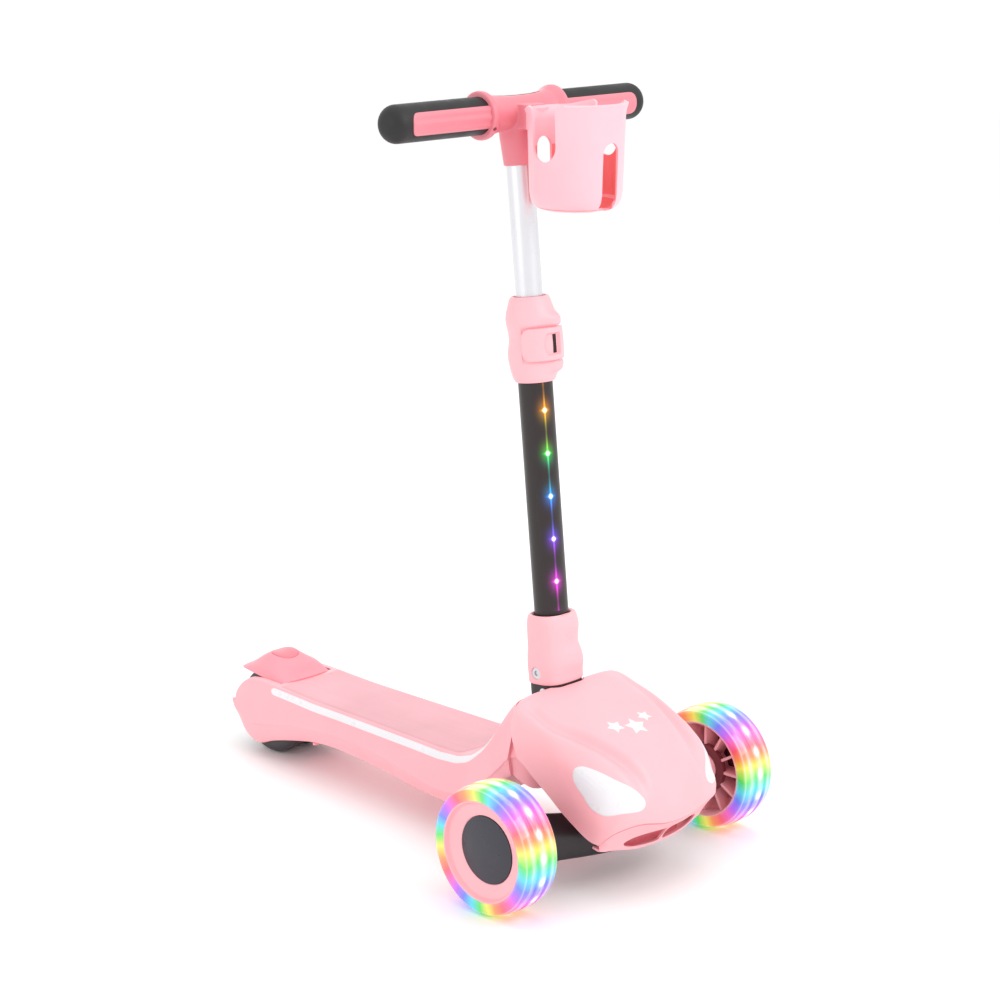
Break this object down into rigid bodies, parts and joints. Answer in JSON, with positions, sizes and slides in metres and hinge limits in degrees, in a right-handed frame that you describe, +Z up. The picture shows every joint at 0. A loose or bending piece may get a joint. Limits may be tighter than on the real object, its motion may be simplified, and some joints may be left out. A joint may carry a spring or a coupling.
{
  "type": "kick scooter",
  "caption": "Child's folding kick scooter: lean-steered front wheels, waisted deck with rear brake, telescopic column, T handlebar with grips and a cup holder.",
  "frame": {"origin": "bottom centre of the whole scooter's bounding box, on the ground", "axes": "+X forward, +Y to the rider's left, +Z up"},
  "size_m": [0.592, 0.336, 0.7107],
  "materials": {
    "pink_plastic": "satin moulded, light pink",
    "deep_pink_plastic": "satin moulded, deeper pink",
    "mat_rubber": "matt, finely ribbed, greyish pink",
    "white_plastic": "satin white",
    "black_plastic": "matt black",
    "black_gloss": "glossy black",
    "grip_rubber": "matt black",
    "lit_tyre": "clear polyurethane lit in changing colours",
    "rear_tyre": "smooth black polyurethane",
    "rear_hub_plastic": "matt dark grey",
    "steel": "zinc plated",
    "black_tube": "satin brown-black",
    "lens": "smoked, glossy",
    "led": "lit lamp",
    "aluminium": "satin anodised"
  },
  "bodies": {
    "deck": {"deck_shell": "pink_plastic", "deck_base": "pink_plastic", "deck_mat": "mat_rubber", "side_stripes": "white_plastic", "deck_screws": "steel", "front_housing": "pink_plastic", "cowl": "pink_plastic", "bumper_grille": "pink_plastic", "headlight_left": "white_plastic", "headlight_right": "white_plastic", "hinge_base": "black_plastic", "hinge_base_screws": "steel", "kingpin": "steel", "kingpin_nut": "steel", "steering_bushes": "grip_rubber", "rear_axle": "steel", "rear_axle_caps": "pink_plastic", "brake_pins": "steel", "brake_springs": "steel"},
    "truck": {"truck_beam": "black_plastic", "front_axles": "steel"},
    "front_left_wheel": {"front_left_tyre": "lit_tyre", "front_left_hub": "pink_plastic", "front_left_bearings": "steel", "front_left_hub_cap": "black_gloss", "front_left_light_ring": "pink_plastic"},
    "front_right_wheel": {"front_right_tyre": "lit_tyre", "front_right_hub": "pink_plastic", "front_right_bearings": "steel", "front_right_hub_cap": "black_gloss", "front_right_light_ring": "pink_plastic"},
    "rear_left_wheel": {"rear_left_tyre": "rear_tyre", "rear_left_hub": "rear_hub_plastic", "rear_left_bearings": "steel"},
    "rear_right_wheel": {"rear_right_tyre": "rear_tyre", "rear_right_hub": "rear_hub_plastic", "rear_right_bearings": "steel"},
    "brake": {"brake_pedal": "deep_pink_plastic", "brake_pad": "deep_pink_plastic", "brake_shoe": "steel"},
    "column": {"column_knuckle": "steel", "fold_pin": "steel", "outer_tube": "black_tube", "led_strip": "lens", "leds": "led", "tube_bush": "black_plastic", "clamp_collar": "pink_plastic", "lever_pin": "steel"},
    "sleeve": {"lock_sleeve": "pink_plastic", "sleeve_screws": "steel"},
    "lever": {"clamp_lever": "pink_plastic"},
    "stem": {"inner_tube": "aluminium", "t_head": "deep_pink_plastic", "handlebar": "aluminium", "grip_left": "grip_rubber", "grip_right": "grip_rubber", "grip_inlay_left": "deep_pink_plastic", "grip_inlay_right": "deep_pink_plastic", "cup_holder": "pink_plastic", "cup_screw": "steel"}
  },
  "joints": [
    {"name": "lean_steer", "type": "hinge", "parent": "deck", "child": "truck", "pos_m": [0.208, 0, 0.052], "axis": [0.7071, 0, 0.7071], "range_deg": [-15, 15], "stiffness_Nm_per_rad": 40},
    {"name": "front_left_spin", "type": "hinge", "parent": "truck", "child": "front_left_wheel", "pos_m": [0.206, 0.148, 0.06], "axis": [0, 1, 0], "continuous": true},
    {"name": "front_right_spin", "type": "hinge", "parent": "truck", "child": "front_right_wheel", "pos_m": [0.206, -0.148, 0.06], "axis": [0, 1, 0], "continuous": true},
    {"name": "rear_left_spin", "type": "hinge", "parent": "deck", "child": "rear_left_wheel", "pos_m": [-0.251, 0.0165, 0.045], "axis": [0, 1, 0], "continuous": true},
    {"name": "rear_right_spin", "type": "hinge", "parent": "deck", "child": "rear_right_wheel", "pos_m": [-0.251, -0.0165, 0.045], "axis": [0, 1, 0], "continuous": true},
    {"name": "brake_press", "type": "hinge", "parent": "deck", "child": "brake", "pos_m": [-0.232, 0, 0.0785], "axis": [0, -1, 0], "range_deg": [0, 2.8], "stiffness_Nm_per_rad": 3, "springref_deg": -11.46},
    {"name": "column_fold", "type": "hinge", "parent": "deck", "child": "column", "pos_m": [0.13541, 0, 0.18581], "axis": [0, -1, 0], "range_deg": [0, 84]},
    {"name": "sleeve_lift", "type": "slide", "parent": "column", "child": "sleeve", "axis": [-0.1024, 0, 0.9947], "range_m": [0, 0.041]},
    {"name": "stem_height", "type": "slide", "parent": "column", "child": "stem", "axis": [-0.1024, 0, 0.9947], "range_m": [-0.07, 0]},
    {"name": "lever_open", "type": "hinge", "parent": "column", "child": "lever", "pos_m": [0.12936, 0.008, 0.48376], "axis": [-0.1024, 0, 0.9947], "range_deg": [0, 110]}
  ],
  "couplings": [
    {"joint": "sleeve_lift", "follows": "column_fold", "m_per_rad": 0.027284}
  ]
}
